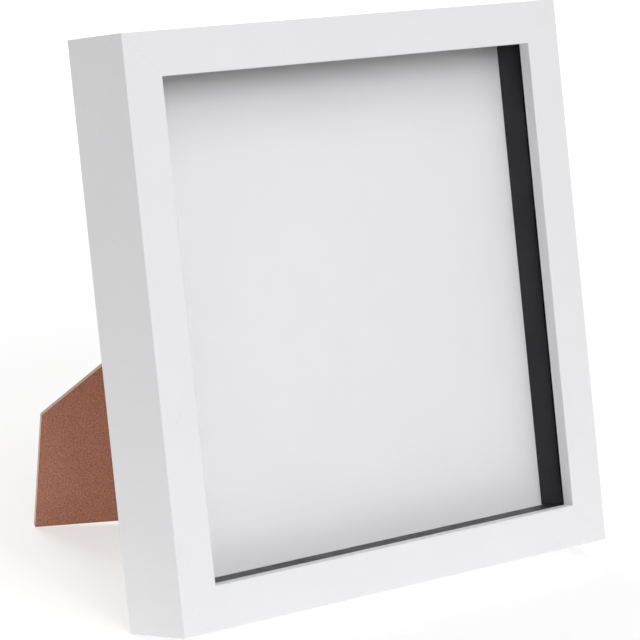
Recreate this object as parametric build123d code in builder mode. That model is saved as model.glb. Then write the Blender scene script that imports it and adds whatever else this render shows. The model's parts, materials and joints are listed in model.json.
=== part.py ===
from build123d import *

import os
from math import atan2, cos, radians, sin, sqrt

# Deep white box frame that leans back on a hardboard easel strut. Four mitred
# rails hold a sandwich of glass, black spacer strips, a white insert card and a
# hardboard back. Four turn clips lock the back in, and a steel hinge on the
# back carries the strut, which folds flat into the rear recess.
# The frame stands on its lower rear edge and on the corner of the strut's foot.
# +Z is up, the glass faces -Y, and the origin is the centre of the footprint.

# Driving dimensions, in millimetres and degrees.
frame_width = 230.0
frame_height = 230.0
frame_depth = 34.0

# Moulding: a front lip, and a thinner wall that runs back from it.
face_width = 17.5
lip_thickness = 5.6
wall_thickness = 10.5
edge_radius = 0.5

# Saw kerf in the wall that the turn clips lock into.
kerf_depth = 3.2
kerf_clearance = 0.3

# Sandwich behind the lip, from front to back.
glass_thickness = 2.0
spacer_depth = 12.5
insert_thickness = 0.6
board_thickness = 2.5
pane_clearance = 0.4
spacer_clearance = 0.2
spacer_reveal = 0.5

# V-shaped nails across the mitres, driven in from behind.
v_nail_leg = 6.0
v_nail_thickness = 0.6
v_nail_height = 8.0
v_nail_inset = 3.0
v_nail_sink = 0.2

# Easel strut: tapered board with a square corner as its foot.
strut_opening = 29.9
strut_thickness = 2.5
strut_foot_edge = 51.0
strut_top_width = 40.0
strut_top_chamfer = 4.0
foot_clearance = 1.5
hinge_inset = 59.0
diagonal = 45.0

# Steel hinge of the strut.
leaf_thickness = 0.8
leaf_length = 17.0
leaf_corner = 2.5
hinge_width = 32.0
centre_knuckle = 10.0
knuckle_gap = 0.2
hinge_gap = 0.2
barrel_clearance = 0.7
pin_radius = 0.8
pin_running_clearance = 0.05
pin_head_radius = 1.2
pin_head_thickness = 0.5
stop_length = 6.5
stop_gap = 0.05

# Rivets of the hinge and of the turn clips.
rivet_radius = 1.25
rivet_clearance = 0.05
rivet_head_radius = 2.5
rivet_head_thickness = 0.9
rivet_head_fillet = 0.6
rivet_tail_radius = 2.1
rivet_tail_thickness = 0.6
hinge_rivet_spacing = 18.0
hinge_rivet_setback = 10.0

# Turn clips of the backboard.
clip_thickness = 0.8
clip_gap = 0.1
clip_pivot_inset = 11.0
clip_grip = 2.4
clip_boss_radius = 4.5
clip_tip_radius = 2.5
clip_tail_radius = 2.6
clip_tail_reach = 5.5
clip_ear_height = 2.0

# Sawtooth hanger on the rear of the top rail.
hanger_length = 44.0
hanger_height = 7.5
hanger_thickness = 0.8
hanger_foot = 8.0
hanger_bridge = 24.0
hanger_rise = 1.6
tooth_pitch = 2.6
tooth_count = 8
nail_radius = 0.7
nail_length = 11.0
nail_head_radius = 1.7
nail_head_thickness = 0.6

# Depths behind the front face at which each layer ends.
glass_back = lip_thickness + glass_thickness
spacer_back = glass_back + spacer_depth
insert_back = spacer_back + insert_thickness
board_back = insert_back + board_thickness
clip_front = board_back + clip_gap
clip_back = clip_front + clip_thickness

# Folded away, the foot's corner sits just inside the walls at the lower left, and
# the strut runs up the diagonal to the hinge.
foot_inset = wall_thickness + foot_clearance
folded_span = min(frame_width, frame_height) - foot_inset - hinge_inset
strut_length = sqrt(2) * folded_span
hinge_x = -frame_width / 2 + foot_inset + folded_span
hinge_y = -frame_height / 2 + foot_inset + folded_span
knuckle_radius = pin_radius + leaf_thickness
leaf_seat = knuckle_radius + hinge_gap
hinge_depth = board_back + leaf_seat
strut_inner_face = knuckle_radius - leaf_thickness
strut_outer_face = strut_inner_face - strut_thickness


def foot_corner(face):
    """Depth and height of the open foot's corner, on one face of the strut."""
    angle = radians(strut_opening)
    swung_back = strut_length * sin(angle) - face * cos(angle)
    swung_down = strut_length * cos(angle) + face * sin(angle)
    height = frame_height / 2 + hinge_y - swung_down * cos(radians(diagonal))
    return hinge_depth + swung_back, height


# The frame leans back until the lower rear edge and the foot are level.
foot_depth, foot_height = foot_corner(strut_inner_face)
lean = atan2(foot_height, foot_depth - frame_depth)
heel_depth, heel_height = foot_corner(strut_outer_face)
rearmost = (heel_depth - frame_depth) * cos(lean) + heel_height * sin(lean)
foremost = -frame_depth * cos(lean)
edge_y = -(rearmost + foremost) / 2


def placed(plane, x=0.0, y=0.0, z=0.0, turn=0.0):
    """A plane shifted along its own axes, then turned about its normal."""
    return Plane(plane.location * Location((x, y, z), (0, 0, turn)))


# Centre of the front face: X to the right, Y up the leaning frame, Z to the viewer.
front = Plane(
    origin=(
        0,
        edge_y - frame_depth * cos(lean) + frame_height / 2 * sin(lean),
        frame_depth * sin(lean) + frame_height / 2 * cos(lean),
    ),
    x_dir=(1, 0, 0),
    z_dir=(0, -cos(lean), sin(lean)),
)
rear = front.offset(-frame_depth)

# Turn of each side about the centre, its rail's length, and the span across.
sides = {
    "bottom": (0, frame_width, frame_height),
    "right": (90, frame_height, frame_width),
    "top": (180, frame_width, frame_height),
    "left": (270, frame_height, frame_width),
}

# Hinge axis along X, strut towards -Y when folded, backboard towards +Z.
hinge = placed(front, hinge_x, hinge_y, -hinge_depth, -diagonal)
across_hinge = Plane(origin=hinge.origin, x_dir=hinge.y_dir, z_dir=hinge.x_dir)
strut_plane = Plane(hinge.location * Location((0, 0, 0), (strut_opening, 0, 0)))

hinge_rivet_spots = [
    (end * hinge_rivet_spacing / 2, hinge_rivet_setback) for end in (-1, 1)
]
strut_rivet_spots = [(x, -y) for x, y in hinge_rivet_spots]
clip_pivots = {
    side: placed(
        placed(front, z=-board_back, turn=turn),
        y=-span / 2 + wall_thickness + clip_pivot_inset,
    )
    for side, (turn, length, span) in sides.items()
}
hanger_centre = placed(rear, y=frame_height / 2 - wall_thickness / 2)
hanger_nail_spots = [
    placed(hanger_centre, x=end * (hanger_length - hanger_foot) / 2) for end in (-1, 1)
]
board_width = frame_width - 2 * (wall_thickness + pane_clearance)
board_height = frame_height - 2 * (wall_thickness + pane_clearance)

os.makedirs("parts", exist_ok=True)

# V-nails: one bent steel strip across each mitre, a leg in each of two rails.
with BuildPart() as v_nails:
    for turn, length, span in sides.values():
        corner = placed(
            placed(rear, turn=turn),
            x=-length / 2 + v_nail_inset,
            y=-span / 2 + v_nail_inset,
            z=v_nail_sink,
        )
        with BuildSketch(corner):
            Rectangle(v_nail_leg, v_nail_thickness, align=Align.MIN)
            Rectangle(v_nail_thickness, v_nail_leg, align=Align.MIN)
        extrude(amount=v_nail_height)
v_nails.part.label = "v_nails"
export_step(v_nails.part, "parts/v_nails.step")

# Rails: one length of moulding for each side, mitred at both ends.
for side, (turn, length, span) in sides.items():
    outward = placed(front, turn=turn)
    section = Plane(
        origin=outward.origin, x_dir=-outward.z_dir, z_dir=outward.x_dir
    )
    outer = -span / 2
    with BuildPart() as rail:
        with BuildSketch(section) as profile:
            with BuildLine():
                Polyline(
                    (0, outer),
                    (frame_depth, outer),
                    (frame_depth, outer + wall_thickness),
                    (lip_thickness, outer + wall_thickness),
                    (lip_thickness, outer + face_width),
                    (0, outer + face_width),
                    close=True,
                )
            make_face()
            fillet(profile.vertices().group_by(Axis.X)[0], edge_radius)
            with Locations(((clip_front + clip_back) / 2, outer + wall_thickness)):
                Rectangle(
                    clip_thickness + 2 * kerf_clearance,
                    2 * kerf_depth,
                    mode=Mode.SUBTRACT,
                )
        extrude(amount=length / 2, both=True)
        for end in (-1, 1):
            corner = placed(outward, x=end * length / 2, y=outer)
            mitre = Plane(
                origin=corner.origin,
                x_dir=corner.z_dir,
                z_dir=-end * corner.x_dir - corner.y_dir,
            )
            split(bisect_by=mitre, keep=Keep.TOP)
        add(v_nails.part, mode=Mode.SUBTRACT)
        if side == "top":
            with Locations(*hanger_nail_spots):
                Cylinder(
                    nail_radius + rivet_clearance,
                    nail_length,
                    align=(Align.CENTER, Align.CENTER, Align.MIN),
                    mode=Mode.SUBTRACT,
                )
    rail.part.label = f"rail_{side}"
    export_step(rail.part, f"parts/rail_{side}.step")

# Glass: one pane behind the lip.
with BuildPart() as glass_pane:
    with BuildSketch(front.offset(-glass_back)):
        Rectangle(board_width, board_height)
    extrude(amount=glass_thickness)
glass_pane.part.label = "glass_pane"
export_step(glass_pane.part, "parts/glass_pane.step")

# Spacers: black strips that keep the insert away from the glass. The upright
# pair runs between the level pair.
spacer_thickness = face_width - wall_thickness - spacer_clearance - spacer_reveal
for side, (turn, length, span) in sides.items():
    strip = length - 2 * (wall_thickness + spacer_clearance)
    if side in ("left", "right"):
        strip = strip - 2 * (spacer_thickness + spacer_clearance)
    seat = placed(
        placed(front, z=-spacer_back, turn=turn),
        y=-span / 2 + wall_thickness + spacer_clearance,
    )
    with BuildPart() as spacer:
        with BuildSketch(seat):
            Rectangle(strip, spacer_thickness, align=(Align.CENTER, Align.MIN))
        extrude(amount=spacer_depth)
    spacer.part.label = f"spacer_{side}"
    export_step(spacer.part, f"parts/spacer_{side}.step")

# Insert: blank white card in front of the backboard.
with BuildPart() as insert_card:
    with BuildSketch(front.offset(-insert_back)):
        Rectangle(board_width, board_height)
    extrude(amount=insert_thickness)
insert_card.part.label = "insert_card"
export_step(insert_card.part, "parts/insert_card.step")

# Backboard: hardboard, counterbored on its front for the tails of the rivets.
with BuildPart() as backboard:
    with BuildSketch(front.offset(-board_back)):
        Rectangle(board_width, board_height)
    extrude(amount=board_thickness)
    board_front = [placed(pivot, z=board_thickness) for pivot in clip_pivots.values()]
    for x, y in hinge_rivet_spots:
        board_front.append(placed(hinge, x, y, leaf_seat + board_thickness))
    with Locations(*board_front):
        CounterBoreHole(
            rivet_radius + rivet_clearance,
            rivet_tail_radius + rivet_clearance,
            rivet_tail_thickness,
        )
backboard.part.label = "backboard"
export_step(backboard.part, "parts/backboard.step")

# Fixed hinge leaf: lies on the backboard, with a knuckle at each end.
with BuildPart() as hinge_leaf_back:
    with BuildSketch(hinge.offset(leaf_seat)) as outline:
        Rectangle(hinge_width, leaf_length, align=(Align.CENTER, Align.MIN))
        fillet(outline.vertices().group_by(Axis.Y)[-1], leaf_corner)
        Rectangle(
            centre_knuckle + 2 * knuckle_gap,
            2 * (knuckle_radius + barrel_clearance),
            mode=Mode.SUBTRACT,
        )
        with Locations(*hinge_rivet_spots):
            Circle(rivet_radius + rivet_clearance, mode=Mode.SUBTRACT)
    extrude(amount=-leaf_thickness)
    for end in (-1, 1):
        with BuildSketch(across_hinge.offset(end * hinge_width / 2)):
            Circle(knuckle_radius)
        extrude(amount=end * (centre_knuckle - hinge_width) / 2 + end * knuckle_gap)
    with BuildSketch(across_hinge):
        Circle(pin_radius)
    extrude(amount=hinge_width, both=True, mode=Mode.SUBTRACT)
hinge_leaf_back.part.label = "hinge_leaf_back"
export_step(hinge_leaf_back.part, "parts/hinge_leaf_back.step")

# Moving hinge leaf: under the strut, with the middle knuckle and a stop tongue
# that comes to rest on the fixed leaf when the strut is open.
with BuildPart() as hinge_leaf_strut:
    with BuildSketch(strut_plane.offset(knuckle_radius)) as outline:
        Rectangle(hinge_width, leaf_length, align=(Align.CENTER, Align.MAX))
        fillet(outline.vertices().group_by(Axis.Y)[0], leaf_corner)
        for end in (-1, 1):
            with Locations((end * hinge_width / 2, 0)):
                Rectangle(
                    hinge_width - centre_knuckle,
                    2 * (knuckle_radius + barrel_clearance),
                    mode=Mode.SUBTRACT,
                )
        with Locations(*strut_rivet_spots):
            Circle(rivet_radius + rivet_clearance, mode=Mode.SUBTRACT)
    extrude(amount=-leaf_thickness)
    with BuildSketch(across_hinge):
        Circle(knuckle_radius)
    extrude(amount=centre_knuckle / 2, both=True)
    stop_seat = leaf_seat - leaf_thickness - stop_gap
    with BuildSketch(hinge.offset(stop_seat)):
        Rectangle(centre_knuckle, stop_length, align=(Align.CENTER, Align.MIN))
    extrude(amount=-leaf_thickness)
    with BuildSketch(across_hinge):
        Circle(pin_radius + pin_running_clearance)
    extrude(amount=centre_knuckle, both=True, mode=Mode.SUBTRACT)
hinge_leaf_strut.part.label = "hinge_leaf_strut"
export_step(hinge_leaf_strut.part, "parts/hinge_leaf_strut.step")

# Hinge pin: steel wire through the knuckles, peened over at both ends.
with BuildPart() as hinge_pin:
    with BuildSketch(across_hinge):
        Circle(pin_radius)
    extrude(amount=hinge_width / 2 + pin_head_thickness, both=True)
    for end in (-1, 1):
        with BuildSketch(across_hinge.offset(end * hinge_width / 2)):
            Circle(pin_head_radius)
        extrude(amount=end * pin_head_thickness)
hinge_pin.part.label = "hinge_pin"
export_step(hinge_pin.part, "parts/hinge_pin.step")

# Back rivets: their tails lie in the backboard's counterbores.
with BuildPart() as back_rivets:
    with BuildSketch(hinge.offset(leaf_seat + board_thickness)):
        with Locations(*hinge_rivet_spots):
            Circle(rivet_tail_radius)
    extrude(amount=-rivet_tail_thickness)
    with BuildSketch(hinge.offset(leaf_seat + board_thickness)):
        with Locations(*hinge_rivet_spots):
            Circle(rivet_radius)
    extrude(amount=-board_thickness - leaf_thickness)
    with BuildSketch(hinge.offset(leaf_seat - leaf_thickness)):
        with Locations(*hinge_rivet_spots):
            Circle(rivet_head_radius)
    extrude(amount=-rivet_head_thickness)
    along_rivet = Axis(hinge.origin, hinge.z_dir)
    fillet(back_rivets.edges().group_by(along_rivet)[0], rivet_head_fillet)
back_rivets.part.label = "back_rivets"
export_step(back_rivets.part, "parts/back_rivets.step")

# Strut: hardboard, a square foot corner and sides that taper to the hinge.
strut_top = -knuckle_radius - barrel_clearance
foot_half_width = strut_foot_edge * sin(radians(diagonal))
foot_shoulder = -strut_length + strut_foot_edge * cos(radians(diagonal))
with BuildPart() as strut:
    with BuildSketch(strut_plane.offset(strut_outer_face)) as outline:
        with BuildLine():
            Polyline(
                (0, -strut_length),
                (foot_half_width, foot_shoulder),
                (strut_top_width / 2, strut_top),
                (-strut_top_width / 2, strut_top),
                (-foot_half_width, foot_shoulder),
                close=True,
            )
        make_face()
        chamfer(outline.vertices().group_by(Axis.Y)[-1], strut_top_chamfer)
        with Locations(*strut_rivet_spots):
            Circle(rivet_radius + rivet_clearance, mode=Mode.SUBTRACT)
    extrude(amount=strut_thickness)
strut.part.label = "strut"
export_step(strut.part, "parts/strut.step")

# Strut rivets: heads on the strut's outer face, tails flush with the leaf.
with BuildPart() as strut_rivets:
    with BuildSketch(strut_plane.offset(knuckle_radius)):
        with Locations(*strut_rivet_spots):
            Circle(rivet_radius)
    extrude(amount=strut_outer_face - knuckle_radius)
    with BuildSketch(strut_plane.offset(strut_outer_face)):
        with Locations(*strut_rivet_spots):
            Circle(rivet_head_radius)
    extrude(amount=-rivet_head_thickness)
    along_rivet = Axis(strut_plane.origin, strut_plane.z_dir)
    fillet(strut_rivets.edges().group_by(along_rivet)[0], rivet_head_fillet)
strut_rivets.part.label = "strut_rivets"
export_step(strut_rivets.part, "parts/strut_rivets.step")

# Turn clips: steel blades that swivel on a rivet and lock into the wall's kerf.
for side, pivot in clip_pivots.items():
    with BuildPart() as turn_clip:
        with BuildSketch(pivot.offset(-clip_gap)):
            Circle(clip_boss_radius)
            with Locations((0, -clip_pivot_inset - clip_grip + clip_tip_radius)):
                Circle(clip_tip_radius)
            with Locations((0, clip_tail_reach)):
                Circle(clip_tail_radius)
            make_hull()
            Circle(rivet_radius + pin_running_clearance, mode=Mode.SUBTRACT)
        extrude(amount=-clip_thickness)
        ear = placed(pivot, y=clip_tail_reach, z=-clip_gap)
        with BuildSketch(ear):
            Rectangle(2 * clip_tail_radius, clip_thickness, align=(Align.CENTER, Align.MAX))
        extrude(amount=-clip_thickness - clip_ear_height)
    turn_clip.part.label = f"turn_clip_{side}"
    export_step(turn_clip.part, f"parts/turn_clip_{side}.step")

# Clip rivets: fixed in the backboard, with room for the clips to turn.
with BuildPart() as clip_rivets:
    for pivot in clip_pivots.values():
        with BuildSketch(pivot.offset(board_thickness)):
            Circle(rivet_tail_radius)
        extrude(amount=-rivet_tail_thickness)
        with BuildSketch(pivot.offset(board_thickness)):
            Circle(rivet_radius)
        extrude(amount=-board_thickness - clip_thickness - 2 * clip_gap)
        with BuildSketch(pivot.offset(-clip_thickness - 2 * clip_gap)):
            Circle(rivet_head_radius)
        extrude(amount=-rivet_head_thickness)
    fillet(clip_rivets.edges().group_by(Axis(front.origin, front.z_dir))[0], rivet_head_fillet)
clip_rivets.part.label = "clip_rivets"
export_step(clip_rivets.part, "parts/clip_rivets.step")

# Sawtooth hanger: pressed steel bridge whose toothed edge hangs on a wall nail.
along_rail = Plane(
    origin=hanger_centre.origin, x_dir=front.x_dir, z_dir=front.y_dir
)
with BuildPart() as sawtooth_hanger:
    with BuildSketch(along_rail):
        with BuildLine():
            Polyline(
                (-hanger_length / 2, 0),
                (-hanger_length / 2, hanger_thickness),
                (-hanger_length / 2 + hanger_foot, hanger_thickness),
                (-hanger_bridge / 2, hanger_rise + hanger_thickness),
                (hanger_bridge / 2, hanger_rise + hanger_thickness),
                (hanger_length / 2 - hanger_foot, hanger_thickness),
                (hanger_length / 2, hanger_thickness),
                (hanger_length / 2, 0),
                (hanger_length / 2 - hanger_foot, 0),
                (hanger_bridge / 2, hanger_rise),
                (-hanger_bridge / 2, hanger_rise),
                (-hanger_length / 2 + hanger_foot, 0),
                close=True,
            )
        make_face()
    extrude(amount=hanger_height / 2, both=True)
    with BuildSketch(hanger_centre):
        with Locations((0, -hanger_height / 2)):
            with GridLocations(tooth_pitch, 0, tooth_count, 1):
                Rectangle(tooth_pitch / sqrt(2), tooth_pitch / sqrt(2), rotation=45)
    extrude(amount=-2 * hanger_rise - hanger_thickness, mode=Mode.SUBTRACT)
    with Locations(*hanger_nail_spots):
        Cylinder(nail_radius + rivet_clearance, nail_length, mode=Mode.SUBTRACT)
sawtooth_hanger.part.label = "sawtooth_hanger"
export_step(sawtooth_hanger.part, "parts/sawtooth_hanger.step")

# Hanger nails: one through each foot of the hanger into the top rail.
with BuildPart() as hanger_nails:
    for spot in hanger_nail_spots:
        with BuildSketch(spot.offset(-hanger_thickness)):
            Circle(nail_radius)
        extrude(amount=nail_length)
        with BuildSketch(spot.offset(-hanger_thickness)):
            Circle(nail_head_radius)
        extrude(amount=-nail_head_thickness)
hanger_nails.part.label = "hanger_nails"
export_step(hanger_nails.part, "parts/hanger_nails.step")
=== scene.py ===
# A deep white box picture frame that leans back on a hardboard easel strut. The file
# follows the frame as it is put together: rails, V-nails, glass, black spacers, card,
# backboard, hinge, strut, turn clips and wall hanger, then the white table and the lamps.
import json
import math

import bmesh
import bpy
from mathutils import Matrix, Vector


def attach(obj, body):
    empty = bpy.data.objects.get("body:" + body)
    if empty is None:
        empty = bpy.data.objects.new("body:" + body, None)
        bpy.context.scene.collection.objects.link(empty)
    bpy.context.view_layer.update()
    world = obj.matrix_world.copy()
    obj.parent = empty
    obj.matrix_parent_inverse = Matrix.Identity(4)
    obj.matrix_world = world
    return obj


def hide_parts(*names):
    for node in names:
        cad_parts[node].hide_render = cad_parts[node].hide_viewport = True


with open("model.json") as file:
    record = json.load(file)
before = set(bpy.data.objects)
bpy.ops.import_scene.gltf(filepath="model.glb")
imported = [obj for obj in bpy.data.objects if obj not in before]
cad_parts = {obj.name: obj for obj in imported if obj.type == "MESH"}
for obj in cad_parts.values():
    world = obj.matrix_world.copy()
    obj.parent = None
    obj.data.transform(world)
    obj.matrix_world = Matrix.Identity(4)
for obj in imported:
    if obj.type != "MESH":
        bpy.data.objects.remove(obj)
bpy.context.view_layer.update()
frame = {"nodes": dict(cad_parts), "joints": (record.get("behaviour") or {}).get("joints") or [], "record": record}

# ---- Rails ----------------------------------------------------------------------------
# Four lengths of fibreboard moulding wrapped in satin white foil on the front, the outside
# and the lip. The saw leaves them raw behind, in the rebate and at the glued mitres.

# The frame leans back, so its pieces are worked on in its own axes: x to the right, y up
# the frame and z out through the glass, from the middle of the bottom rail's underside.
mounts = {mount["name"]: mount for mount in frame["record"]["mounts"]}
up_frame = -Vector(mounts["bottom_face"]["axis"]).normalized()
right_frame = Vector((1, 0, 0))
leaning = Matrix((right_frame, up_frame, right_frame.cross(up_frame))).transposed().to_4x4()
leaning.translation = Vector(mounts["bottom_face"]["pos_m"])


def span(node, axes):
    """Lowest and highest corner of a CAD node in the given axes."""
    into = axes.inverted()
    places = [into @ vertex.co for vertex in frame["nodes"][node].data.vertices]
    return Vector(map(min, *places)), Vector(map(max, *places))


weld_distance = 0.000002


def evened(piece):
    """Runs a piece's modifiers into a plain mesh and takes them off."""
    ready = piece.evaluated_get(bpy.context.evaluated_depsgraph_get())
    piece.data = bpy.data.meshes.new_from_object(ready)
    piece.modifiers.clear()
    return piece


def ease(piece, width, sharp=35, by_weight=False):
    """Rounds a piece's sharp edges, marks the rounding "eased" and keeps flats flat."""
    mesh = piece.data
    mesh.shade_smooth()
    mesh.materials.clear()
    mesh.materials.append(None)
    mesh.materials.append(None)
    rounding = piece.modifiers.new("rounding", "BEVEL")
    rounding.width = width
    rounding.segments = 2
    rounding.angle_limit = math.radians(sharp)
    rounding.limit_method = "WEIGHT" if by_weight else "ANGLE"
    rounding.material = 1
    piece.modifiers.new("flat flats", "WEIGHTED_NORMAL").keep_sharp = True
    evened(piece)
    eased = piece.data.attributes.new("eased", "FLOAT", "FACE")
    for face in piece.data.polygons:
        eased.data[face.index].value = face.material_index
        face.material_index = 0
    piece.data.materials.clear()
    return piece


def eased_copy(node, width, sharp=35, weigh=None):
    """A clean copy of a CAD node with its sharp edges eased by a width."""
    shape = bmesh.new()
    shape.from_mesh(frame["nodes"][node].data)
    bmesh.ops.remove_doubles(shape, verts=shape.verts, dist=weld_distance)
    flat = math.radians(1)
    bmesh.ops.dissolve_limit(shape, angle_limit=flat, verts=shape.verts, edges=shape.edges)
    if weigh:
        share = shape.edges.layers.float.new("bevel_weight_edge")
        for edge in shape.edges:
            if edge.calc_face_angle(0) > math.radians(sharp):
                edge[share] = weigh(edge)
    mesh = bpy.data.meshes.new(node + "_made")
    shape.to_mesh(mesh)
    shape.free()
    piece = bpy.data.objects.new(node + "_made", mesh)
    bpy.context.scene.collection.objects.link(piece)
    return ease(piece, width, sharp, by_weight=weigh is not None)


def add(tree, kind, inputs=None, **settings):
    """A new node; each input is a number to set or another node's socket to link."""
    node = tree.nodes.new(kind)
    for name, value in settings.items():
        setattr(node, name, value)
    for socket, value in (inputs or {}).items():
        if isinstance(value, bpy.types.NodeSocket):
            tree.links.new(value, node.inputs[socket])
        else:
            node.inputs[socket].default_value = value
    return node


def reckon(tree, operation, *values):
    """The result of one Math node on numbers or sockets."""
    return add(tree, "ShaderNodeMath", dict(enumerate(values)), operation=operation).outputs[0]


def new_group(name, kind, inputs, outputs):
    """An empty node group with named sockets; returns it, its inputs and its output node."""
    tree = bpy.data.node_groups.new(name, kind)
    for label, (socket, value) in inputs.items():
        made = tree.interface.new_socket(label, in_out="INPUT", socket_type=socket)
        if value is not None:
            made.default_value = value
    for label, socket in outputs.items():
        tree.interface.new_socket(label, in_out="OUTPUT", socket_type=socket)
    return tree, tree.nodes.new("NodeGroupInput").outputs, tree.nodes.new("NodeGroupOutput")


def grain_group():
    """Fine grain: a tone that wavers around 1, and a height for the bump."""
    tree, given, result = new_group(
        "fine grain", "ShaderNodeTree",
        {"Vector": ("NodeSocketVector", None), "Size": ("NodeSocketFloat", 0.001),
         "Contrast": ("NodeSocketFloat", 0.02)},
        {"Tone": "NodeSocketFloat", "Height": "NodeSocketFloat"},
    )
    noise = add(tree, "ShaderNodeTexNoise", {
        "Vector": given["Vector"], "Scale": reckon(tree, "DIVIDE", 1.0, given["Size"]),
        "Detail": 3.0, "Roughness": 0.6,
    })
    swing = reckon(tree, "SUBTRACT", noise.outputs["Fac"], 0.5)
    swing = reckon(tree, "MULTIPLY", swing, given["Contrast"])
    tone = reckon(tree, "MULTIPLY_ADD", swing, 4.0, 1.0)
    tree.links.new(tone, result.inputs["Tone"])
    tree.links.new(noise.outputs["Fac"], result.inputs["Height"])
    return tree


def flecks_group():
    """Small round flecks scattered over a share of the cells; their mask is 1."""
    tree, given, result = new_group(
        "flecks", "ShaderNodeTree",
        {"Vector": ("NodeSocketVector", None), "Size": ("NodeSocketFloat", 0.001),
         "Share": ("NodeSocketFloat", 0.1)},
        {"Mask": "NodeSocketFloat"},
    )
    cells = add(tree, "ShaderNodeTexVoronoi", {
        "Vector": given["Vector"], "Scale": reckon(tree, "DIVIDE", 1.0, given["Size"]),
    })
    round_dot = add(tree, "ShaderNodeMapRange", {
        "Value": cells.outputs["Distance"], "From Min": 0.16, "From Max": 0.42,
        "To Min": 1.0, "To Max": 0.0,
    })
    draw = add(tree, "ShaderNodeSeparateColor", {"Color": cells.outputs["Color"]})
    chosen = reckon(tree, "LESS_THAN", draw.outputs["Red"], given["Share"])
    mask = reckon(tree, "MULTIPLY", round_dot.outputs["Result"], chosen)
    tree.links.new(mask, result.inputs["Mask"])
    return tree


fine_grain = grain_group()
flecks = flecks_group()


def new_material(name, roughness, metallic=0.0, ior=1.45):
    """A material with its Principled shader; returns it, its tree and the shader."""
    material = bpy.data.materials.new(name)
    material.use_nodes = True
    tree = material.node_tree
    shader = tree.nodes["Principled BSDF"]
    shader.inputs["Roughness"].default_value = roughness
    shader.inputs["Metallic"].default_value = metallic
    shader.inputs["IOR"].default_value = ior
    return material, tree, shader


def turned_to(tree, axes):
    """Object coordinates laid along a piece's own axes, for its pattern."""
    place = add(tree, "ShaderNodeTexCoord").outputs["Object"]
    return add(tree, "ShaderNodeMapping", {
        "Vector": place, "Location": axes.translation, "Rotation": axes.to_euler(),
    }, vector_type="TEXTURE").outputs[0]


def stretched(tree, place, x, y, z):
    """Coordinates along which a pattern runs longer by these factors."""
    return add(tree, "ShaderNodeMapping", {
        "Vector": place, "Scale": (1 / x, 1 / y, 1 / z),
    }).outputs[0]


def grained(tree, place, size, contrast):
    """Tone and height of the fine grain at one size."""
    made = add(tree, "ShaderNodeGroup", node_tree=fine_grain)
    tree.links.new(place, made.inputs["Vector"])
    made.inputs["Size"].default_value = size
    made.inputs["Contrast"].default_value = contrast
    return made.outputs["Tone"], made.outputs["Height"]


def flecked(tree, place, size, share, strength):
    """Mask of flecks of one size on a share of the surface, as strong as asked."""
    made = add(tree, "ShaderNodeGroup", node_tree=flecks)
    tree.links.new(place, made.inputs["Vector"])
    made.inputs["Size"].default_value = size
    made.inputs["Share"].default_value = share
    return reckon(tree, "MULTIPLY", made.outputs["Mask"], strength)


def toned(tree, colour, *tones):
    """A colour or colour socket made lighter or darker by tones around 1."""
    for tone in tones:
        made = add(tree, "ShaderNodeVectorMath", {0: colour, 3: tone}, operation="SCALE")
        colour = made.outputs[0]
    return colour


def blended(tree, mask, first, second):
    """The first colour where the mask is 0, the second where it is 1."""
    made = add(tree, "ShaderNodeMix", {0: mask}, data_type="RGBA")
    # This node's two colour inputs come after its number and vector inputs.
    for socket, colour in ((made.inputs[6], first), (made.inputs[7], second)):
        if isinstance(colour, bpy.types.NodeSocket):
            tree.links.new(colour, socket)
        else:
            socket.default_value = (*colour, 1)
    return made.outputs[2]


def bumped(tree, shader, height, depth, strength=1.0):
    """Feeds a height into the shader as a bump of a depth in metres."""
    made = add(tree, "ShaderNodeBump", {
        "Height": height, "Distance": depth, "Strength": strength,
    })
    tree.links.new(made.outputs[0], shader.inputs["Normal"])


def ranged(tree, value, low, high):
    """A 0 to 1 value turned into a range, as for roughness."""
    return add(tree, "ShaderNodeMapRange", {
        "Value": value, "To Min": low, "To Max": high,
    }).outputs["Result"]


def satin_foil():
    """White printed foil: very slightly uneven, with a few motes of dust."""
    material, tree, shader = new_material("satin white foil", roughness=0.45)
    place = turned_to(tree, leaning)
    cloud, _ = grained(tree, place, size=0.03, contrast=0.012)
    pores, bumps = grained(tree, place, size=0.0007, contrast=0.012)
    mote = flecked(tree, place, size=0.0018, share=0.01, strength=0.08)
    white = toned(tree, (0.812, 0.812, 0.825), cloud, pores)
    white = blended(tree, mote, white, (0.35, 0.33, 0.3))
    tree.links.new(white, shader.inputs["Base Color"])
    roughness = ranged(tree, bumps, low=0.4, high=0.54)
    tree.links.new(roughness, shader.inputs["Roughness"])
    bumped(tree, shader, bumps, depth=0.00004, strength=0.25)
    return material


def raw_fibreboard():
    """Sawn fibreboard: pale brown, matt and fibrous."""
    material, tree, shader = new_material("raw fibreboard", roughness=0.9, ior=1.3)
    place = turned_to(tree, leaning)
    wide, _ = grained(tree, place, size=0.009, contrast=0.06)
    along_sheet = stretched(tree, place, x=4, y=4, z=1)
    fibres, hairs = grained(tree, along_sheet, size=0.00025, contrast=0.22)
    brown = toned(tree, (0.47, 0.35, 0.235), wide, fibres)
    dark = flecked(tree, place, size=0.0008, share=0.16, strength=0.5)
    tree.links.new(blended(tree, dark, brown, (0.2, 0.13, 0.08)), shader.inputs["Base Color"])
    bumped(tree, shader, hairs, depth=0.00012, strength=0.6)
    return material


foil = satin_foil()
fibreboard = raw_fibreboard()
edge_easing = 0.00015
tight_seam = 0.00001
open_seam = 0.00004
lip_back = span("glass_pane", leaning)[1].z
frame_middle = span("rail_left", leaning)[1].y / 2


def ends_at_mitre(normal):
    """True where a face belongs to the saw cut of a mitre, which runs at 45 degrees."""
    least_slant = 0.15
    return min(abs(normal.dot(right_frame)), abs(normal.dot(up_frame))) > least_slant


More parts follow.
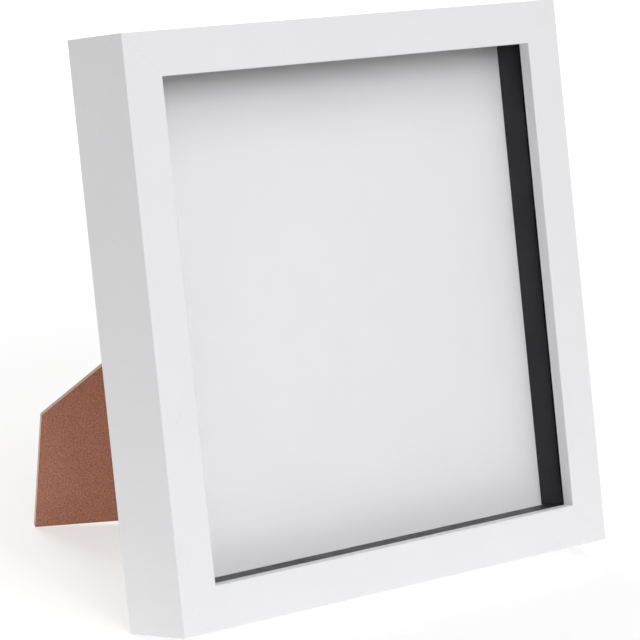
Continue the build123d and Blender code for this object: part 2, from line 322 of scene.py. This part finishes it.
def seam_or_edge(edge):
    """Share of the easing: the glued mitres are closed, and only the upper left one shows."""
    if any(ends_at_mitre(face.normal) for face in edge.link_faces):
        middle = leaning.inverted() @ ((edge.verts[0].co + edge.verts[1].co) / 2)
        shows = middle.x < 0 and middle.y > frame_middle
        return (open_seam if shows else tight_seam) / edge_easing
    return 1.0


def foil_wraps(face, turn):
    """False on the saw cuts and on what lies behind the lip, which the foil leaves raw."""
    normal = turn @ face.normal
    middle = leaning.inverted() @ face.center
    to_middle = Vector((-middle.x, frame_middle - middle.y, 0))
    across = max((0, 1), key=lambda axis: abs(to_middle[axis]))
    faces_inward = normal[across] * to_middle[across] > 0.3 * abs(to_middle[across])
    return not (
        ends_at_mitre(face.normal)
        or normal.z < -0.5
        or (faces_inward and middle.z < lip_back)
    )


turn = leaning.to_3x3().inverted()
for side in ("top", "bottom", "left", "right"):
    rail = eased_copy(f"rail_{side}", edge_easing, weigh=seam_or_edge)
    rail.data.materials.append(foil)
    rail.data.materials.append(fibreboard)
    for face in rail.data.polygons:
        face.material_index = 0 if foil_wraps(face, turn) else 1
    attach(rail, "frame")
    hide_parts(f"rail_{side}")

# ---- V-nails --------------------------------------------------------------------------
# Bent strips of bright steel that a foot press drives in from behind, one across each
# glued mitre with a leg in either rail. They lie just under the rear surface, out of sight.


def loose_parts(node, axes):
    """Lowest and highest corner of every separate solid in a CAD node."""
    shape = bmesh.new()
    shape.from_mesh(frame["nodes"][node].data)
    bmesh.ops.remove_doubles(shape, verts=shape.verts, dist=weld_distance)
    into = axes.inverted()
    waiting = set(shape.verts)
    parts = []
    while waiting:
        reached = [waiting.pop()]
        for vertex in reached:
            near = {edge.other_vert(vertex) for edge in vertex.link_edges} & waiting
            waiting -= near
            reached.extend(near)
        places = [into @ vertex.co for vertex in reached]
        parts.append((Vector(map(min, *places)), Vector(map(max, *places))))
    shape.free()
    return sorted(parts, key=lambda part: [round(number, 5) for number in part[0]])


def grow(name, seed, tree, sizes, axes, material):
    """Runs a Geometry Nodes tree on a seed mesh and sets the result into its place."""
    piece = bpy.data.objects.new(name, seed)
    bpy.context.scene.collection.objects.link(piece)
    maker = piece.modifiers.new(name, "NODES")
    maker.node_group = tree
    wanted = {**sizes, "Material": material}
    for item in tree.interface.items_tree:
        if item.in_out == "INPUT" and item.name in wanted:
            maker[item.identifier] = wanted[item.name]
    evened(piece)
    piece.data.transform(axes)
    return piece


def close_tree(tree, shape, given, result):
    """Ends a tree with real geometry that wears its material."""
    real = add(tree, "GeometryNodeRealizeInstances", {"Geometry": shape})
    dressed = add(tree, "GeometryNodeSetMaterial", {
        "Geometry": real.outputs[0], "Material": given["Material"],
    })
    tree.links.new(dressed.outputs[0], result.inputs["Geometry"])


def bent_strip_tree():
    """A strip on edge along every path in the seed, with rounded bends."""
    tree, given, result = new_group(
        "bent strip", "GeometryNodeTree",
        {"Geometry": ("NodeSocketGeometry", None), "Thickness": ("NodeSocketFloat", 0.001),
         "Height": ("NodeSocketFloat", 0.01), "Bend": ("NodeSocketFloat", 0.001),
         "Material": ("NodeSocketMaterial", None)},
        {"Geometry": "NodeSocketGeometry"},
    )
    bend_steps = 5
    path = add(tree, "GeometryNodeMeshToCurve", {"Mesh": given["Geometry"]})
    bend = add(tree, "GeometryNodeFilletCurve", {
        "Curve": path.outputs[0], "Count": bend_steps, "Radius": given["Bend"],
    }, mode="POLY")
    upright = add(tree, "GeometryNodeSetCurveNormal", {"Curve": bend.outputs[0]}, mode="Z_UP")
    section = add(tree, "GeometryNodeCurvePrimitiveQuadrilateral", {
        "Width": given["Thickness"], "Height": given["Height"],
    })
    strip = add(tree, "GeometryNodeCurveToMesh", {
        "Curve": upright.outputs[0], "Profile Curve": section.outputs[0], "Fill Caps": True,
    })
    close_tree(tree, strip.outputs[0], given, result)
    return tree


def edge_wear_and_shade_group():
    """Eased edges, broken up by noise: wear on metal, painted edge shade on hardboard; a larger amount marks more
    of them.
    """
    tree, given, result = new_group(
        "edge wear and shade", "ShaderNodeTree",
        {"Vector": ("NodeSocketVector", None), "Size": ("NodeSocketFloat", 0.004),
         "Amount": ("NodeSocketFloat", 0.5)},
        {"Mask": "NodeSocketFloat"},
    )
    noise = add(tree, "ShaderNodeTexNoise", {
        "Vector": given["Vector"], "Scale": reckon(tree, "DIVIDE", 1.0, given["Size"]),
        "Detail": 4.0,
    })
    threshold = reckon(tree, "SUBTRACT", 0.85, given["Amount"])
    patch = reckon(tree, "SUBTRACT", noise.outputs["Fac"], threshold)
    patch = add(tree, "ShaderNodeMapRange", {"Value": patch, "From Max": 0.3})
    eased = add(tree, "ShaderNodeAttribute", attribute_name="eased")
    mask = reckon(tree, "MULTIPLY", patch.outputs["Result"], eased.outputs["Fac"])
    tree.links.new(mask, result.inputs["Mask"])
    return tree


edge_wear_and_shade = edge_wear_and_shade_group()


def worn_and_shaded_edge(tree, place, size, amount):
    """Mask of the eased edges in patches of a size: rubbed by handling on metal, painted edge shade on hardboard.
    """
    made = add(tree, "ShaderNodeGroup", node_tree=edge_wear_and_shade)
    tree.links.new(place, made.inputs["Vector"])
    made.inputs["Size"].default_value = size
    made.inputs["Amount"].default_value = amount
    return made.outputs["Mask"]


def zinc_steel():
    """Bright zinc plate on rolled steel: clouded, finely scratched, rubbed on its edges."""
    material, tree, shader = new_material("zinc plated steel", roughness=0.34, metallic=1.0)
    place = turned_to(tree, leaning)
    cloud, _ = grained(tree, place, size=0.005, contrast=0.07)
    along_rolling = stretched(tree, place, x=14, y=1, z=1)
    lines, scratches = grained(tree, along_rolling, size=0.00018, contrast=0.05)
    plate = toned(tree, (0.62, 0.635, 0.65), cloud, lines)
    stain = flecked(tree, place, size=0.0009, share=0.09, strength=0.22)
    plate = blended(tree, stain, plate, (0.36, 0.36, 0.35))
    rubbed = worn_and_shaded_edge(tree, place, size=0.003, amount=0.45)
    plate = blended(tree, rubbed, plate, (0.82, 0.82, 0.83))
    tree.links.new(plate, shader.inputs["Base Color"])
    roughness = ranged(tree, scratches, low=0.22, high=0.5)
    tree.links.new(roughness, shader.inputs["Roughness"])
    bumped(tree, shader, scratches, depth=0.00003, strength=0.5)
    return material


zinc = zinc_steel()
nail_thickness = 0.0006
nail_bend = 0.0009
paths = []
for low, high in loose_parts("v_nails", leaning):
    centre = (low + high) / 2
    height = high.z - low.z
    reach = (high - low) / 2 - Vector((nail_thickness, nail_thickness, 0)) / 2
    outward = Vector((math.copysign(1, centre.x), math.copysign(1, centre.y - frame_middle), 0))
    corner = centre + Vector((outward.x * reach.x, outward.y * reach.y, 0))
    half_strip = nail_thickness / 2
    along = centre + Vector((-outward.x * (reach.x + half_strip), outward.y * reach.y, 0))
    up = centre + Vector((outward.x * reach.x, -outward.y * (reach.y + half_strip), 0))
    paths.append((along, corner, up))
seed = bpy.data.meshes.new("v_nail_paths")
seed.from_pydata(
    [place for path in paths for place in path],
    [(first, first + 1) for path in range(len(paths)) for first in (3 * path, 3 * path + 1)],
    [],
)
v_nails = grow("v_nails_made", seed, bent_strip_tree(), {
    "Thickness": nail_thickness, "Height": height, "Bend": nail_bend,
}, leaning, zinc)
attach(v_nails, "frame")
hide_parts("v_nails")

# ---- Glass ----------------------------------------------------------------------------
# One pane of 2 mm picture glass that lies loose against the back of the lip. Its faces
# are clear, with the faintest waviness.


def picture_glass():
    """Clear low-reflection glass that lets the lamps' light straight through."""
    material, tree, shader = new_material("picture glass", roughness=0.0, ior=1.13)
    shader.inputs["Base Color"].default_value = (0.99, 0.992, 0.995, 1)
    shader.inputs["Transmission Weight"].default_value = 1.0
    place = turned_to(tree, leaning)
    _, waviness = grained(tree, place, size=0.02, contrast=0.1)
    smear = ranged(tree, waviness, low=0.0, high=0.025)
    tree.links.new(smear, shader.inputs["Roughness"])
    see_through = add(tree, "ShaderNodeBsdfTransparent", {"Color": (0.975, 0.978, 0.98, 1)})
    light_path = add(tree, "ShaderNodeLightPath")
    both = add(tree, "ShaderNodeMixShader", {
        0: light_path.outputs["Is Shadow Ray"], 1: shader.outputs[0], 2: see_through.outputs[0],
    })
    tree.links.new(both.outputs[0], tree.nodes["Material Output"].inputs["Surface"])
    return material


pane = frame["nodes"]["glass_pane"]
pane.data.materials.clear()
pane.data.materials.append(picture_glass())

# ---- Spacers --------------------------------------------------------------------------
# Four strips covered in black film that stand between the glass and the card and line the
# display space. The upright pair is cut to fit between the level pair.


def black_film():
    """Black satin film: a fine grain, cloudy patches, pale motes and lint."""
    material, tree, shader = new_material("black film", roughness=0.4, ior=1.26)
    place = turned_to(tree, leaning)
    _, blotches = grained(tree, place, size=0.005, contrast=0.3)
    pores, bumps = grained(tree, place, size=0.0007, contrast=0.3)
    patch = reckon(tree, "MULTIPLY", blotches, bumps)
    patch = ranged(tree, patch, low=-0.4, high=1.6)
    black = blended(tree, patch, (0.003, 0.003, 0.004), (0.036, 0.036, 0.046))
    black = toned(tree, black, pores)
    mote = flecked(tree, place, size=0.0017, share=0.035, strength=0.5)
    black = blended(tree, mote, black, (0.27, 0.27, 0.3))
    along_lint = stretched(tree, place, x=1, y=3, z=1)
    lint = flecked(tree, along_lint, size=0.0009, share=0.03, strength=0.3)
    black = blended(tree, lint, black, (0.16, 0.16, 0.17))
    tree.links.new(black, shader.inputs["Base Color"])
    roughness = ranged(tree, blotches, low=0.22, high=0.62)
    tree.links.new(roughness, shader.inputs["Roughness"])
    bumped(tree, shader, bumps, depth=0.00004, strength=0.5)
    return material


film = black_film()
spacer_easing = 0.0002
for side in ("top", "bottom", "left", "right"):
    spacer = eased_copy(f"spacer_{side}", spacer_easing)
    spacer.data.materials.append(film)
    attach(spacer, "frame")
    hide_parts(f"spacer_{side}")

# ---- Insert card ----------------------------------------------------------------------
# A sheet of matt white card that lies flat on the backboard and shows through the glass.
# It is blank. The spacers press it down round its edge.


def white_card():
    """Matt white card with a faint fibre and a rare grey speck."""
    material, tree, shader = new_material("white card", roughness=0.85, ior=1.35)
    place = turned_to(tree, leaning)
    cloud, _ = grained(tree, place, size=0.035, contrast=0.01)
    along_fibre = stretched(tree, place, x=2.5, y=1, z=1)
    fibre, felt = grained(tree, along_fibre, size=0.0008, contrast=0.012)
    card = toned(tree, (0.645, 0.64, 0.65), cloud, fibre)
    speck = flecked(tree, place, size=0.0014, share=0.0012, strength=0.4)
    card = blended(tree, speck, card, (0.4, 0.4, 0.41))
    tree.links.new(card, shader.inputs["Base Color"])
    bumped(tree, shader, felt, depth=0.00006, strength=0.4)
    return material


card_easing = 0.0001
card = eased_copy("insert_card", card_easing)
card.data.materials.append(white_card())
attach(card, "frame")
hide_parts("insert_card")

# ---- Backboard ------------------------------------------------------------------------
# A sheet of reddish brown hardboard, pressed smooth outside and sawn to size, so its edge
# shows the paler fibre. It closes the back and carries the strut's hinge and the clips.


def hardboard(name, axes, screened):
    """Pressed wood fibre. The press leaves one side smooth and a wire screen marks the other."""
    material, tree, shader = new_material(name, roughness=0.6, ior=1.4)
    place = turned_to(tree, axes)
    base = (0.42, 0.188, 0.122) if screened else (0.34, 0.162, 0.107)
    coarseness = 1.0 if screened else 0.5
    cloud, _ = grained(tree, place, size=0.03, contrast=0.05)
    clumps, _ = grained(tree, place, size=0.004, contrast=0.05)
    fibre, fuzz = grained(tree, place, size=0.0008, contrast=0.42 * coarseness)
    brown = toned(tree, base, cloud, clumps, fibre)
    pale = flecked(tree, place, size=0.0011, share=0.1, strength=0.35 * coarseness)
    brown = blended(tree, pale, brown, (0.72, 0.44, 0.31))
    dark = flecked(tree, place, size=0.0013, share=0.22, strength=0.5 * coarseness)
    brown = blended(tree, dark, brown, (0.2, 0.08, 0.055))
    height = fuzz
    if screened:
        wire_spacing = 0.0011
        across = add(tree, "ShaderNodeSeparateXYZ", {"Vector": place})
        turns = 2 * math.pi / wire_spacing
        warp = reckon(tree, "SINE", reckon(tree, "MULTIPLY", across.outputs["X"], turns))
        weft = reckon(tree, "SINE", reckon(tree, "MULTIPLY", across.outputs["Y"], turns))
        dimples = reckon(tree, "MULTIPLY", warp, weft)
        brown = toned(tree, brown, reckon(tree, "MULTIPLY_ADD", dimples, 0.12, 1.0))
        height = reckon(tree, "MULTIPLY_ADD", dimples, 0.5, fuzz)
    # Painted edge shade: this mask darkens nearly all the eased edges into a dark brown outline.
    rubbed = worn_and_shaded_edge(tree, place, size=0.004, amount=0.8)
    brown = blended(tree, rubbed, brown, (0.14, 0.06, 0.045))
    tree.links.new(brown, shader.inputs["Base Color"])
    roughness = ranged(tree, fuzz, low=0.35 + 0.1 * coarseness, high=0.8)
    tree.links.new(roughness, shader.inputs["Roughness"])
    bumped(tree, shader, height, depth=0.00008, strength=0.6 * coarseness)
    return material


def sawn_edge(name, axes):
    """The saw's cut through hardboard: pale pinkish fibre in layers along the sheet."""
    material, tree, shader = new_material(name, roughness=0.85, ior=1.3)
    place = turned_to(tree, axes)
    along_layers = stretched(tree, place, x=8, y=8, z=1)
    layers, hairs = grained(tree, along_layers, size=0.0003, contrast=0.16)
    burn, _ = grained(tree, place, size=0.006, contrast=0.06)
    pale = toned(tree, (0.62, 0.43, 0.35), layers, burn)
    tree.links.new(pale, shader.inputs["Base Color"])
    bumped(tree, shader, hairs, depth=0.0001, strength=0.6)
    return material


def face_or_edge(piece, axes, smooth_side, other_side, cut):
    """Gives a board's two faces and its sawn edge their own finishes."""
    for material in (smooth_side, other_side, cut):
        piece.data.materials.append(material)
    out = axes.to_3x3().col[2]
    edge_limit = 0.6
    for face in piece.data.polygons:
        facing = face.normal.dot(out)
        if abs(facing) < edge_limit:
            face.material_index = 2
        else:
            face.material_index = 0 if facing < 0 else 1


board_easing = 0.0002
backboard = eased_copy("backboard", board_easing)
face_or_edge(
    backboard, leaning,
    smooth_side=hardboard("backboard smooth side", leaning, screened=False),
    other_side=hardboard("backboard screen side", leaning, screened=True),
    cut=sawn_edge("backboard sawn edge", leaning),
)
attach(backboard, "frame")
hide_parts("backboard")

# ---- Hinge ----------------------------------------------------------------------------
# Two leaves of zinc plated steel with rolled knuckles on a pin whose ends are peened over.
# One leaf is riveted to the backboard; a tongue of the other is the strut's stop.
metal_easing = 0.00012
for node, body in (
    ("hinge_leaf_back", "frame"), ("hinge_pin", "frame"), ("hinge_leaf_strut", "strut"),
):
    steel = eased_copy(node, metal_easing, sharp=50)
    steel.data.materials.append(zinc)
    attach(steel, body)
    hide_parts(node)

# ---- Strut ----------------------------------------------------------------------------
# The easel strut is the same hardboard, sawn with a square corner for its foot and tapered
# to the hinge. Its smooth side faces out and the screen's marks face the frame.
hinge = next(joint for joint in frame["joints"] if joint["name"] == "strut_hinge")


def strut_axes():
    """Axes on the strut from its hinge: x along the hinge, y up the strut, z towards the frame."""
    along = -Vector(hinge["axis"]).normalized()
    widest = max(frame["nodes"]["strut"].data.polygons, key=lambda face: face.area)
    out = widest.normal.copy()
    if out.dot(leaning.to_3x3().col[2]) < 0:
        out.negate()
    made = Matrix((along, out.cross(along), out)).transposed().to_4x4()
    made.translation = Vector(hinge["pos_m"])
    return made


on_strut = strut_axes()
strut = eased_copy("strut", board_easing)
face_or_edge(
    strut, on_strut,
    smooth_side=hardboard("strut smooth side", on_strut, screened=False),
    other_side=hardboard("strut screen side", on_strut, screened=True),
    cut=sawn_edge("strut sawn edge", on_strut),
)
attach(strut, "strut")
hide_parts("strut")

# ---- Rivets ---------------------------------------------------------------------------
# Tubular steel rivets with a low domed head and a small dimple where they were drawn up.
# Two hold each hinge leaf, and one is the pivot of each turn clip.


def turned_pin_tree():
    """A headed pin lathed at every point of the seed, standing on its tail along z."""
    sizes = (
        "Head Radius", "Head Rise", "Dimple", "Shank Radius", "Length", "Tail Radius", "Tail Rise",
    )
    tree, given, result = new_group(
        "turned pin", "GeometryNodeTree",
        {"Geometry": ("NodeSocketGeometry", None),
         **{size: ("NodeSocketFloat", 0.001) for size in sizes},
         "Facets": ("NodeSocketInt", 32), "Material": ("NodeSocketMaterial", None)},
        {"Geometry": "NodeSocketGeometry"},
    )
    lathe_radius = 0.001
    dimple_slope = 0.6
    crown_share = 0.8
    dome_steps = 6
    length, rise, dimple = given["Length"], given["Head Rise"], given["Dimple"]
    seat = reckon(tree, "SUBTRACT", length, rise)
    sunk = reckon(tree, "SUBTRACT", length, reckon(tree, "MULTIPLY", dimple, dimple_slope))
    crown = reckon(tree, "MULTIPLY", given["Head Radius"], crown_share)
    outline = [
        (0.0, sunk), (dimple, length), (crown, length), (given["Head Radius"], seat),
        (given["Shank Radius"], seat), (given["Shank Radius"], given["Tail Rise"]),
        (given["Tail Radius"], given["Tail Rise"]), (given["Tail Radius"], 0.0), (0.0, 0.0),
    ]
    corners = []
    for radius, height in outline:
        across = reckon(tree, "SUBTRACT", radius, lathe_radius)
        downward = reckon(tree, "MULTIPLY", height, -1.0)
        corners.append(add(tree, "ShaderNodeCombineXYZ", {0: across, 1: downward}))
    profile = add(tree, "GeometryNodeJoinGeometry")
    dome = add(tree, "GeometryNodeCurveQuadraticBezier", {
        "Resolution": dome_steps, "Start": corners[1].outputs[0],
        "Middle": corners[2].outputs[0], "End": corners[3].outputs[0],
    })
    tree.links.new(dome.outputs[0], profile.inputs[0])
    for first, last in ((0, 1), (3, 4), (4, 5), (5, 6), (6, 7), (7, 8)):
        line = add(tree, "GeometryNodeCurvePrimitiveLine", {
            "Start": corners[first].outputs[0], "End": corners[last].outputs[0],
        })
        tree.links.new(line.outputs[0], profile.inputs[0])
    lathe = add(tree, "GeometryNodeCurvePrimitiveCircle", {
        "Resolution": given["Facets"], "Radius": lathe_radius,
    })
    turned = add(tree, "GeometryNodeCurveToMesh", {
        "Curve": lathe.outputs[0], "Profile Curve": profile.outputs[0],
    })
    closed = add(tree, "GeometryNodeMergeByDistance", {
        "Geometry": turned.outputs[0], "Distance": weld_distance,
    })
    placed = add(tree, "GeometryNodeInstanceOnPoints", {
        "Points": given["Geometry"], "Instance": closed.outputs[0],
    })
    close_tree(tree, placed.outputs[0], given, result)
    return tree


turned_pin = turned_pin_tree()


def pins(node, axes, sizes, material):
    """Turned pins at the solids of a CAD node, with its length and head, their tails at -z."""
    parts = loose_parts(node, axes)
    seed = bpy.data.meshes.new(node + "_places")
    tails = [((low.x + high.x) / 2, (low.y + high.y) / 2, low.z) for low, high in parts]
    seed.from_pydata(tails, [], [])
    low, high = parts[0]
    measured = {"Length": high.z - low.z, "Head Radius": (high.x - low.x) / 2}
    pin = grow(node + "_made", seed, turned_pin, {**measured, **sizes}, axes, material)
    pin.data.shade_smooth()
    pin.data.set_sharp_from_angle(angle=math.radians(40))
    return pin


def facing_back(axes):
    """The same axes turned about x, so that z points to the rear."""
    return axes @ Matrix.Rotation(math.pi, 4, "X")


rivet = {
    "Head Rise": 0.0009, "Dimple": 0.0006, "Shank Radius": 0.00125,
    "Tail Radius": 0.0021, "Tail Rise": 0.0006,
}
plain_tail = {**rivet, "Tail Radius": rivet["Shank Radius"]}
for node, body, axes, sizes in (
    ("back_rivets", "frame", leaning, rivet),
    ("strut_rivets", "strut", on_strut, plain_tail),
    ("clip_rivets", "frame", leaning, rivet),
):
    rivets = pins(node, facing_back(axes), sizes, zinc)
    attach(rivets, body)
    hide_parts(node)

# ---- Turn clips -----------------------------------------------------------------------
# Stamped blades of zinc plated steel, one on each side. Each swivels on its rivet, with a
# turned-up tail to push, and its tip locks the backboard in by entering the wall's kerf.
for side in ("top", "bottom", "left", "right"):
    clip = eased_copy(f"turn_clip_{side}", metal_easing)
    clip.data.materials.append(zinc)
    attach(clip, f"clip_{side}")
    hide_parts(f"turn_clip_{side}")

# ---- Wall hanger ----------------------------------------------------------------------
# A brass plated strip, raised in the middle like a bridge, whose lower edge is cut into
# teeth that catch a nail in the wall. Two flat headed nails hold its feet to the top rail.


def toothed_bridge_tree():
    """A strip along x, raised between its feet, with teeth along its lower edge."""
    tree, given, result = new_group(
        "toothed bridge", "GeometryNodeTree",
        {"Geometry": ("NodeSocketGeometry", None), "Length": ("NodeSocketFloat", 0.044),
         "Height": ("NodeSocketFloat", 0.0075), "Thickness": ("NodeSocketFloat", 0.0008),
         "Foot": ("NodeSocketFloat", 0.008), "Bridge": ("NodeSocketFloat", 0.024),
         "Rise": ("NodeSocketFloat", 0.0016), "Tooth Pitch": ("NodeSocketFloat", 0.0026),
         "Teeth": ("NodeSocketInt", 8), "Columns": ("NodeSocketInt", 441),
         "Material": ("NodeSocketMaterial", None)},
        {"Geometry": "NodeSocketGeometry"},
    )
    rows = 5
    sheet = add(tree, "GeometryNodeMeshGrid", {
        "Size X": given["Length"], "Size Y": given["Height"],
        "Vertices X": given["Columns"], "Vertices Y": rows,
    })
    place = add(tree, "GeometryNodeInputPosition")
    place = add(tree, "ShaderNodeSeparateXYZ", {"Vector": place.outputs[0]})
    from_middle = reckon(tree, "ABSOLUTE", place.outputs["X"])
    half_tooth = reckon(tree, "MULTIPLY", given["Tooth Pitch"], 0.5)
    zigzag = reckon(tree, "PINGPONG", from_middle, half_tooth)
    toothed_length = reckon(tree, "MULTIPLY", half_tooth, given["Teeth"])
    toothed = reckon(tree, "LESS_THAN", from_middle, toothed_length)
    lower_half = add(tree, "ShaderNodeMapRange", {
        "Value": place.outputs["Y"], "From Min": 0.0,
        "From Max": reckon(tree, "MULTIPLY", given["Height"], -0.5),
    })
    teeth = reckon(tree, "MULTIPLY", zigzag, toothed)
    cut = reckon(tree, "MULTIPLY", teeth, lower_half.outputs[0])
    half_bridge = reckon(tree, "MULTIPLY", given["Bridge"], 0.5)
    half_length = reckon(tree, "MULTIPLY", given["Length"], 0.5)
    foot_start = reckon(tree, "SUBTRACT", half_length, given["Foot"])
    lift = add(tree, "ShaderNodeMapRange", {
        "Value": from_middle, "From Min": half_bridge, "From Max": foot_start,
        "To Min": given["Rise"], "To Max": 0.0,
    })
    shift = add(tree, "ShaderNodeCombineXYZ", {1: cut, 2: lift.outputs[0]})
    bent = add(tree, "GeometryNodeSetPosition", {
        "Geometry": sheet.outputs[0], "Offset": shift.outputs[0],
    })
    upper = add(tree, "GeometryNodeExtrudeMesh", {
        "Mesh": bent.outputs[0], "Offset Scale": given["Thickness"], "Individual": False,
        "Offset": (0.0, 0.0, 1.0),
    })
    under = add(tree, "GeometryNodeFlipFaces", {"Mesh": bent.outputs[0]})
    both = add(tree, "GeometryNodeJoinGeometry")
    for half in (upper.outputs[0], under.outputs[0]):
        tree.links.new(half, both.inputs[0])
    closed = add(tree, "GeometryNodeMergeByDistance", {
        "Geometry": both.outputs[0], "Distance": weld_distance,
    })
    close_tree(tree, closed.outputs[0], given, result)
    return tree


def brass_plate():
    """Thin brass plate on steel: yellow, with duller clouds and bright rubbed edges."""
    material, tree, shader = new_material("brass plated steel", roughness=0.32, metallic=1.0)
    place = turned_to(tree, leaning)
    cloud, _ = grained(tree, place, size=0.004, contrast=0.09)
    along_rolling = stretched(tree, place, x=12, y=1, z=1)
    lines, scratches = grained(tree, along_rolling, size=0.0002, contrast=0.06)
    plate = toned(tree, (0.74, 0.56, 0.28), cloud, lines)
    tarnish = flecked(tree, place, size=0.0009, share=0.12, strength=0.25)
    plate = blended(tree, tarnish, plate, (0.36, 0.25, 0.12))
    rubbed = worn_and_shaded_edge(tree, place, size=0.003, amount=0.45)
    plate = blended(tree, rubbed, plate, (0.9, 0.76, 0.48))
    tree.links.new(plate, shader.inputs["Base Color"])
    roughness = ranged(tree, scratches, low=0.22, high=0.48)
    tree.links.new(roughness, shader.inputs["Roughness"])
    bumped(tree, shader, scratches, depth=0.00003, strength=0.5)
    return material


brass = brass_plate()
hanger_low, hanger_high = span("sawtooth_hanger", leaning)
hanger_place = Matrix.Translation((
    (hanger_low.x + hanger_high.x) / 2, (hanger_low.y + hanger_high.y) / 2, hanger_high.z,
))
hanger_axes = leaning @ hanger_place @ Matrix.Rotation(math.pi, 4, "Y")
hanger_sizes = {
    "Length": hanger_high.x - hanger_low.x, "Height": hanger_high.y - hanger_low.y,
    "Thickness": 0.0008, "Rise": 0.0016, "Foot": 0.008, "Bridge": 0.024,
    "Tooth Pitch": 0.0026, "Teeth": 8,
}
hanger = grow(
    "sawtooth_hanger_made", bpy.data.meshes.new("hanger_seed"), toothed_bridge_tree(),
    hanger_sizes, hanger_axes, brass,
)
ease(hanger, metal_easing, sharp=50)
hanger.data.materials.append(brass)
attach(hanger, "frame")
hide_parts("sawtooth_hanger")

nail = {
    "Head Rise": 0.0006, "Dimple": 0.0001, "Shank Radius": 0.0007,
    "Tail Radius": 0.0007, "Tail Rise": 0.0006,
}
hanger_nails = pins("hanger_nails", facing_back(leaning), nail, brass)
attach(hanger_nails, "frame")
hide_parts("hanger_nails")

# ---- Table, lamps and camera ----------------------------------------------------------
# The frame stands on a wide white table that glows a little round it, under soft lamps in
# front, above and behind, in an even white room.
table_reach = 4.0
table_mesh = bpy.data.meshes.new("table")
table_mesh.from_pydata(
    [(x * table_reach, y * table_reach, 0) for x, y in ((-1, -1), (1, -1), (1, 1), (-1, 1))],
    [], [(0, 1, 2, 3)],
)
table = bpy.data.objects.new("table", table_mesh)
bpy.context.scene.collection.objects.link(table)


def seen_rays(tree):
    """1 for rays that look at the background: straight, in a gloss or through the glass."""
    path = add(tree, "ShaderNodeLightPath")
    seen = reckon(tree, "MAXIMUM", path.outputs["Is Camera Ray"], path.outputs["Is Glossy Ray"])
    seen = reckon(tree, "MAXIMUM", seen, path.outputs["Is Transmission Ray"])
    unscattered = reckon(tree, "LESS_THAN", path.outputs["Diffuse Depth"], 0.5)
    return reckon(tree, "MULTIPLY", seen, unscattered)


def table_white():
    """A matt white top, lit from below round the frame. It looks white but for the shadow."""
    material, tree, shader = new_material("table white", roughness=1.0, ior=1.2)
    glow_reach = 0.5
    seen = seen_rays(tree)
    top = blended(tree, seen, (0.9, 0.9, 0.9), (0.42, 0.42, 0.42))
    tree.links.new(top, shader.inputs["Base Color"])
    shader.inputs["Emission Color"].default_value = (1, 1, 1, 1)
    place = add(tree, "ShaderNodeTexCoord").outputs["Object"]
    away = add(tree, "ShaderNodeVectorMath", {0: place}, operation="LENGTH").outputs["Value"]
    glow = add(tree, "ShaderNodeMapRange", {
        "Value": away, "From Max": glow_reach, "To Min": 0.68, "To Max": 0.0,
    }).outputs[0]
    whiteness = add(tree, "ShaderNodeMapRange", {
        "Value": away, "From Min": 0.4, "From Max": 1.2, "To Min": 0.62, "To Max": 1.0,
    }).outputs[0]
    strength = add(tree, "ShaderNodeMix", {0: seen, 2: glow, 3: whiteness}).outputs[0]
    tree.links.new(strength, shader.inputs["Emission Strength"])
    return material


table_mesh.materials.append(table_white())


def looking_from(azimuth, elevation):
    """Unit vector from the frame towards a bearing, in degrees; 0, 0 is straight in front."""
    turn, rise = math.radians(azimuth), math.radians(elevation)
    return Vector((
        math.sin(turn) * math.cos(rise), -math.cos(turn) * math.cos(rise), math.sin(rise),
    ))


lamp_distance = 2.5
middle_height = 0.1
for name, azimuth, elevation, side, watts in (
    ("top lamp", 0, 70, 0.8, 8.8), ("high front lamp", 0, 55, 0.8, 5.0),
    ("front lamp", -18, 35, 1.2, 17.5), ("rear lamp", 180, 62, 1.2, 13.0),
    ("low rear lamp", 180, 30, 1.2, 12.0),
):
    lamp_data = bpy.data.lights.new(name, "AREA")
    lamp_data.size = side
    lamp_data.energy = watts
    lamp = bpy.data.objects.new(name, lamp_data)
    bpy.context.scene.collection.objects.link(lamp)
    towards = looking_from(azimuth, elevation)
    lamp.location = Vector((0, 0, middle_height)) + towards * lamp_distance
    lamp.rotation_euler = towards.to_track_quat("Z", "Y").to_euler()

room_light = 0.37
room = bpy.data.worlds.new("white room")
room.use_nodes = True
bpy.context.scene.world = room
room_seen = ranged(room.node_tree, seen_rays(room.node_tree), low=room_light, high=1.0)
room.node_tree.nodes["Background"].inputs["Color"].default_value = (1, 1, 1, 1)
room.node_tree.links.new(room_seen, room.node_tree.nodes["Background"].inputs["Strength"])

camera_data = bpy.data.cameras.new("camera")
camera_data.sensor_width = 36
camera_data.lens = 180.88
camera_data.clip_end = 20
camera = bpy.data.objects.new("camera", camera_data)
bpy.context.scene.collection.objects.link(camera)
aim = Vector((-0.0012, -0.0038, 0.1028))
camera_distance = 1.312
camera_azimuth = -42.794
camera_elevation = 17.177
camera_roll = 6.197
towards = looking_from(camera_azimuth, camera_elevation)
look = (-towards).to_track_quat("-Z", "Y").to_matrix().to_4x4()
tilt = Matrix.Rotation(math.radians(camera_roll), 4, "Z")
camera.matrix_world = Matrix.Translation(aim + towards * camera_distance) @ look @ tilt
bpy.context.scene.camera = camera
bpy.context.scene.view_settings.view_transform = "Standard"
